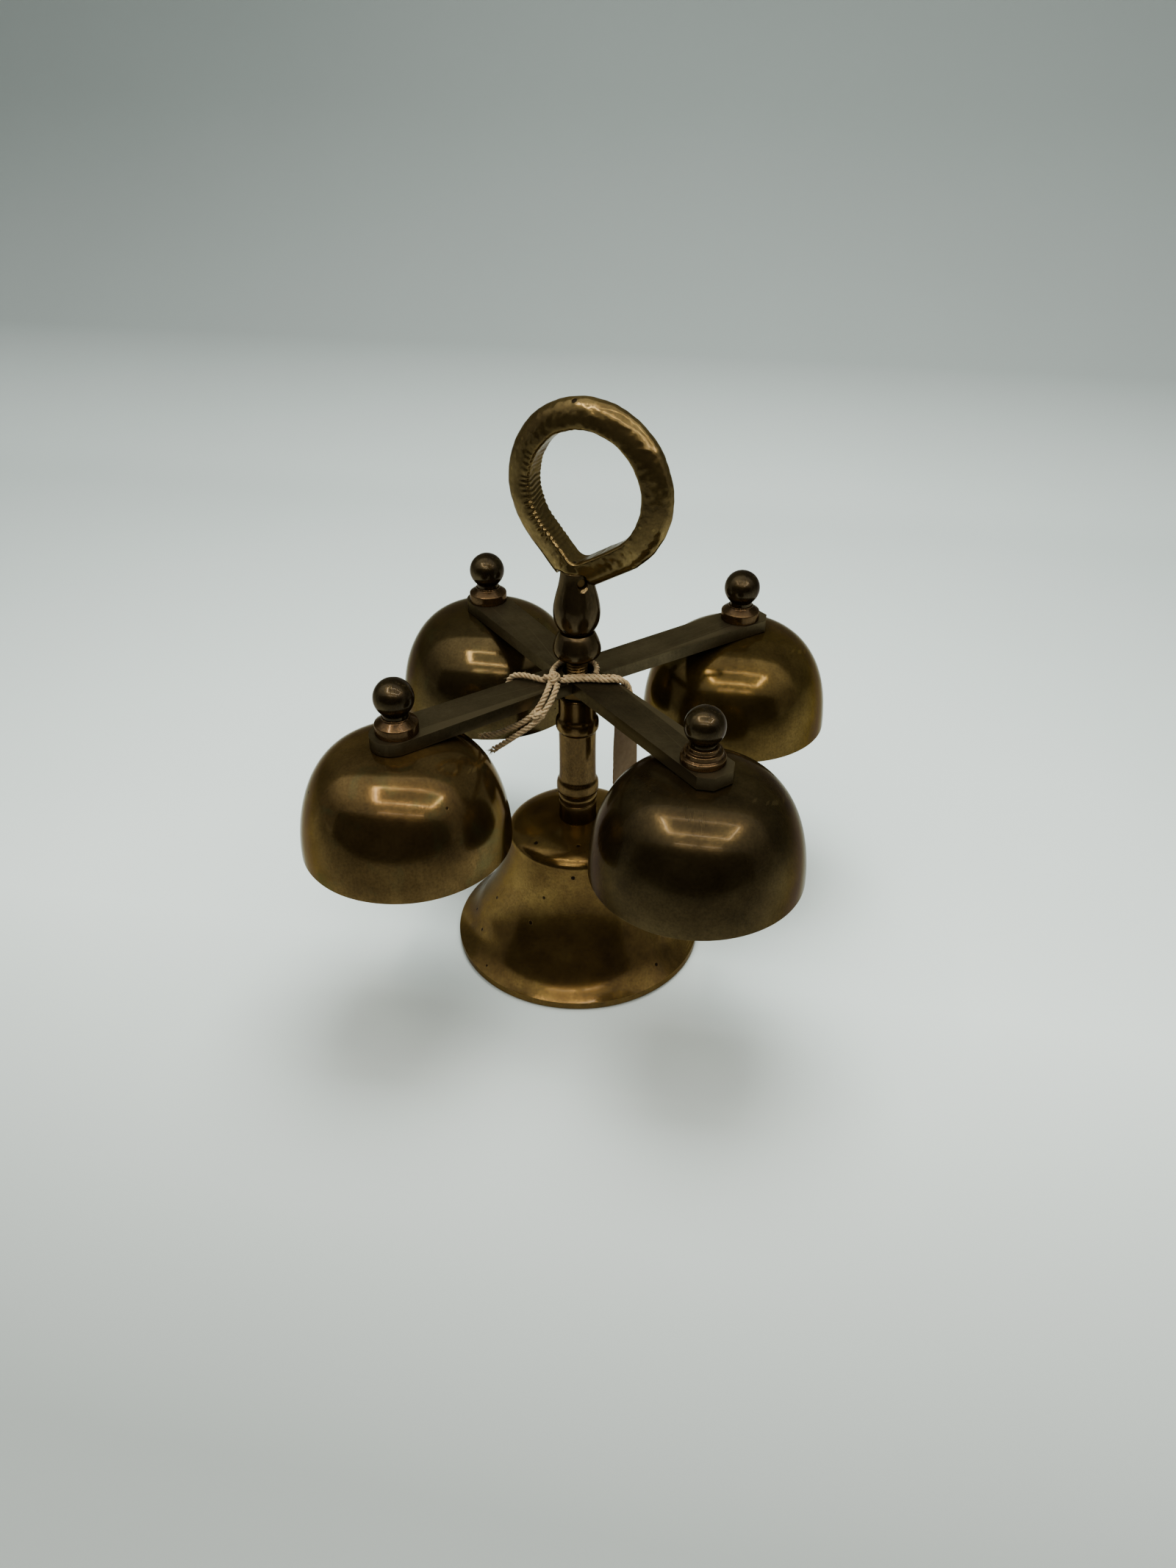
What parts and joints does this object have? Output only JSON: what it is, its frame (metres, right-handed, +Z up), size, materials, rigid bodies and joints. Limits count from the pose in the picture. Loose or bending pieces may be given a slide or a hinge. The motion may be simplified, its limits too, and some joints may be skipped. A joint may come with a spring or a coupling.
{
  "type": "sanctus bell",
  "caption": "Hand altar bell on a bell-shaped foot: domed bells hang from a cross of arms that turns under a ring handle, each with a clapper on a link.",
  "frame": {"origin": "on the surface the base bell stands on, under the middle of the bounding box, which lies 1.7 mm from the column's axis", "axes": "+Z up along the column; the domes stand at about 45 degrees to X and Y; -Y is the front, from which the ring handle is seen as a full ring"},
  "size_m": [0.1538, 0.1572, 0.1901],
  "materials": {
    "bell_brass": "spun brass, satin, with an even brown patina",
    "base_brass": "cast brass, satin, warmer patina with brown patches and small pits",
    "turned_brass": "turned brass, half polished, darkened in the grooves",
    "cast_brass": "cast and filed brass, satin, fine file marks",
    "plate_bronze": "dull grey-brown sheet, satin, brighter edges",
    "rod_brass": "plain fasteners, dull and darkened",
    "twine": "natural twisted jute twine",
    "card": "plain kraft card, matte"
  },
  "bodies": {
    "stand": {"base_bell": "base_brass", "base_nut": "rod_brass", "centre_rod": "rod_brass", "column_foot": "turned_brass", "column": "turned_brass", "lock_nut": "rod_brass", "hub_washer": "rod_brass", "bead_nut": "turned_brass", "handle_stem": "turned_brass", "handle_pin": "rod_brass", "ring_handle": "cast_brass"},
    "cross": {"cross_plate": "plate_bronze", "dome_bell_front_right": "bell_brass", "stud_front_right": "rod_brass", "dome_nut_front_right": "rod_brass", "collar_front_right": "turned_brass", "ball_finial_front_right": "turned_brass", "dome_bell_back_right": "bell_brass", "stud_back_right": "rod_brass", "dome_nut_back_right": "rod_brass", "collar_back_right": "turned_brass", "ball_finial_back_right": "turned_brass", "dome_bell_back_left": "bell_brass", "stud_back_left": "rod_brass", "dome_nut_back_left": "rod_brass", "collar_back_left": "turned_brass", "ball_finial_back_left": "turned_brass", "dome_bell_front_left": "bell_brass", "stud_front_left": "rod_brass", "dome_nut_front_left": "rod_brass", "collar_front_left": "turned_brass", "ball_finial_front_left": "turned_brass", "twine_knot": "twine", "twine_loop": "twine", "twine_turn": "twine", "twine_end": "twine", "twine_tail_long": "twine", "twine_tail_short": "twine", "tag": "card"},
    "link_front_right": {"clapper_link_front_right": "rod_brass"},
    "clapper_front_right": {"clapper_front_right": "rod_brass"},
    "link_back_right": {"clapper_link_back_right": "rod_brass"},
    "clapper_back_right": {"clapper_back_right": "rod_brass"},
    "link_back_left": {"clapper_link_back_left": "rod_brass"},
    "clapper_back_left": {"clapper_back_left": "rod_brass"},
    "link_front_left": {"clapper_link_front_left": "rod_brass"},
    "clapper_front_left": {"clapper_front_left": "rod_brass"},
    "link_centre": {"clapper_link_centre": "rod_brass"},
    "clapper_centre": {"clapper_centre": "rod_brass"}
  },
  "joints": [
    {"name": "cross_swivel", "type": "hinge", "parent": "stand", "child": "cross", "pos_m": [-0.00165, -0.00049, 0.103], "axis": [0, 0, 1], "continuous": true},
    {"name": "link_front_right_swing", "type": "hinge", "parent": "cross", "child": "link_front_right", "pos_m": [0.04313, -0.0448, 0.0924], "axis": [1, 0, 0], "range_deg": [-48, 48]},
    {"name": "clapper_front_right_swing", "type": "hinge", "parent": "link_front_right", "child": "clapper_front_right", "pos_m": [0.04313, -0.0448, 0.0894], "axis": [0, 1, 0], "range_deg": [-48, 48]},
    {"name": "link_back_right_swing", "type": "hinge", "parent": "cross", "child": "link_back_right", "pos_m": [0.04507, 0.04656, 0.0924], "axis": [1, 0, 0], "range_deg": [-48, 48]},
    {"name": "clapper_back_right_swing", "type": "hinge", "parent": "link_back_right", "child": "clapper_back_right", "pos_m": [0.04507, 0.04656, 0.0894], "axis": [0, 1, 0], "range_deg": [-48, 48]},
    {"name": "link_back_left_swing", "type": "hinge", "parent": "cross", "child": "link_back_left", "pos_m": [-0.04247, 0.0439, 0.0924], "axis": [1, 0, 0], "range_deg": [-48, 48]},
    {"name": "clapper_back_left_swing", "type": "hinge", "parent": "link_back_left", "child": "clapper_back_left", "pos_m": [-0.04247, 0.0439, 0.0894], "axis": [0, 1, 0], "range_deg": [-48, 48]},
    {"name": "link_front_left_swing", "type": "hinge", "parent": "cross", "child": "link_front_left", "pos_m": [-0.04507, -0.04656, 0.0924], "axis": [1, 0, 0], "range_deg": [-48, 48]},
    {"name": "clapper_front_left_swing", "type": "hinge", "parent": "link_front_left", "child": "clapper_front_left", "pos_m": [-0.04507, -0.04656, 0.0894], "axis": [0, 1, 0], "range_deg": [-48, 48]},
    {"name": "link_centre_swing", "type": "hinge", "parent": "stand", "child": "link_centre", "pos_m": [-0.00165, -0.00049, 0.036], "axis": [1, 0, 0], "range_deg": [-48, 48]},
    {"name": "clapper_centre_swing", "type": "hinge", "parent": "link_centre", "child": "clapper_centre", "pos_m": [-0.00165, -0.00049, 0.033], "axis": [0, 1, 0], "range_deg": [-48, 48]}
  ]
}
